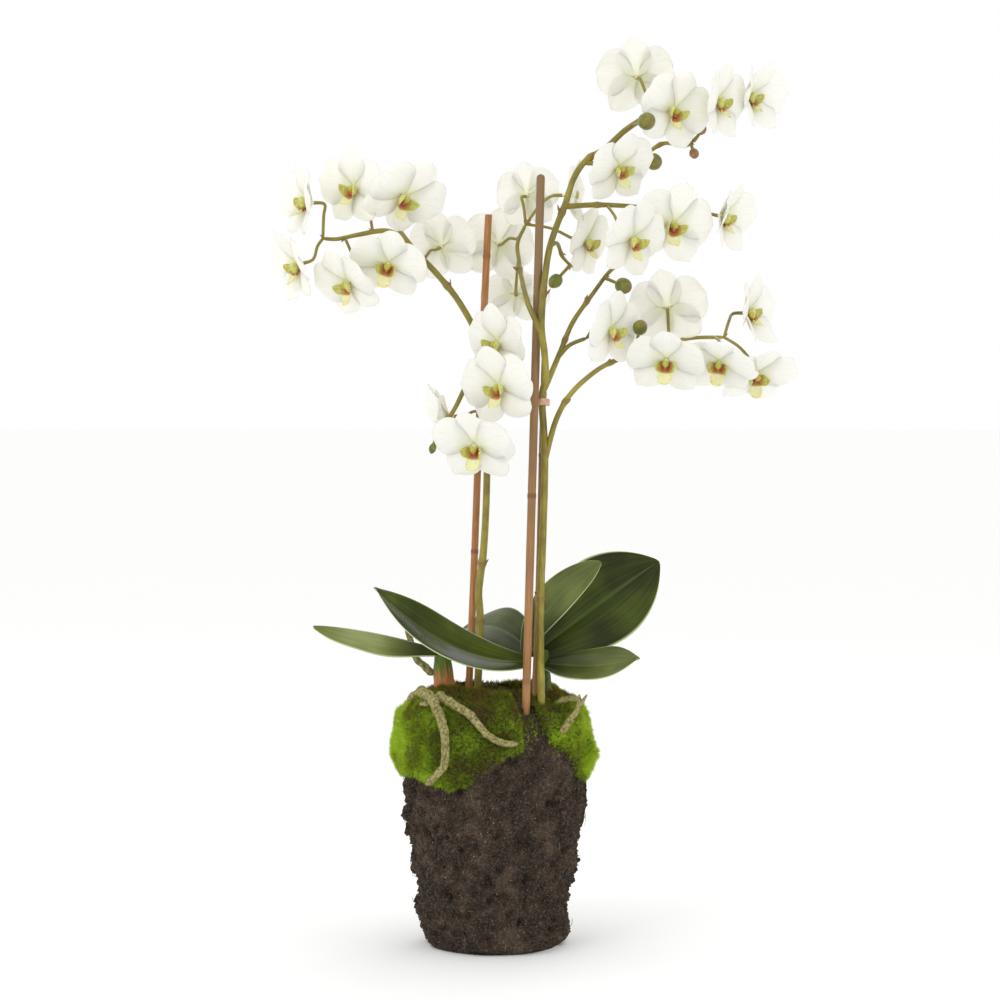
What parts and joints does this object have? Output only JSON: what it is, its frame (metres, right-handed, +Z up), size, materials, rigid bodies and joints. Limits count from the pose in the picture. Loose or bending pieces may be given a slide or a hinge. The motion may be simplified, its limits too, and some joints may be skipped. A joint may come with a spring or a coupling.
{
  "type": "potted orchid",
  "caption": "White moth orchid on a bare pot-shaped root ball with moss, bamboo stakes, glossy leaves, aerial roots and branched arching sprays of flowers and buds; stands on its flat foot.",
  "frame": {"origin": "centre of the root ball's flat foot, on the surface that the plant stands on", "axes": "+Z up along the stakes, front of the plant towards -Y, +X to the right seen from the front"},
  "size_m": [0.3756, 0.1791, 0.6537],
  "materials": {
    "bark": "matte",
    "moss": "matte",
    "cane": "satin",
    "tie": "satin",
    "crown": "satin",
    "leaf": "gloss",
    "root": "matte",
    "stem": "satin",
    "bud": "satin",
    "petal": "satin"
  },
  "bodies": {
    "root": {"root_ball": "bark", "moss_left": "moss", "moss_right": "moss", "stake_tall": "cane", "stake_left": "cane", "stake_short": "cane", "tie": "tie", "crown_left": "crown", "crown_right": "crown", "leaf_far_left": "leaf", "leaf_front_left": "leaf", "leaf_back": "leaf", "leaf_big_right": "leaf", "leaf_inner_right": "leaf", "leaf_low_right": "leaf", "root_front_left": "root", "root_front_right": "root", "root_up_left": "root", "root_right": "root", "root_fork": "root", "spike_left": "stem", "spike_right": "stem", "bud_top_1": "bud", "bud_top_2": "bud", "bud_top_3": "bud", "bud_top_4": "bud", "bud_top_5": "bud", "bud_back": "bud", "bud_middle": "bud", "bud_lower": "bud", "flower_L1": "petal", "flower_L2": "petal", "flower_L3": "petal", "flower_L4": "petal", "flower_L5": "petal", "flower_L6": "petal", "flower_L7": "petal", "flower_F1": "petal", "flower_F2": "petal", "flower_F3": "petal", "flower_F4": "petal", "flower_C1": "petal", "flower_C2": "petal", "flower_C3": "petal", "flower_C4": "petal", "flower_C5": "petal", "flower_T1": "petal", "flower_T2": "petal", "flower_T3": "petal", "flower_T4": "petal", "flower_M1": "petal", "flower_M2": "petal", "flower_M3": "petal", "flower_M4": "petal", "flower_R1": "petal", "flower_R2": "petal", "flower_R3": "petal", "flower_R4": "petal", "flower_R5": "petal", "flower_R6": "petal"}
  },
  "joints": []
}
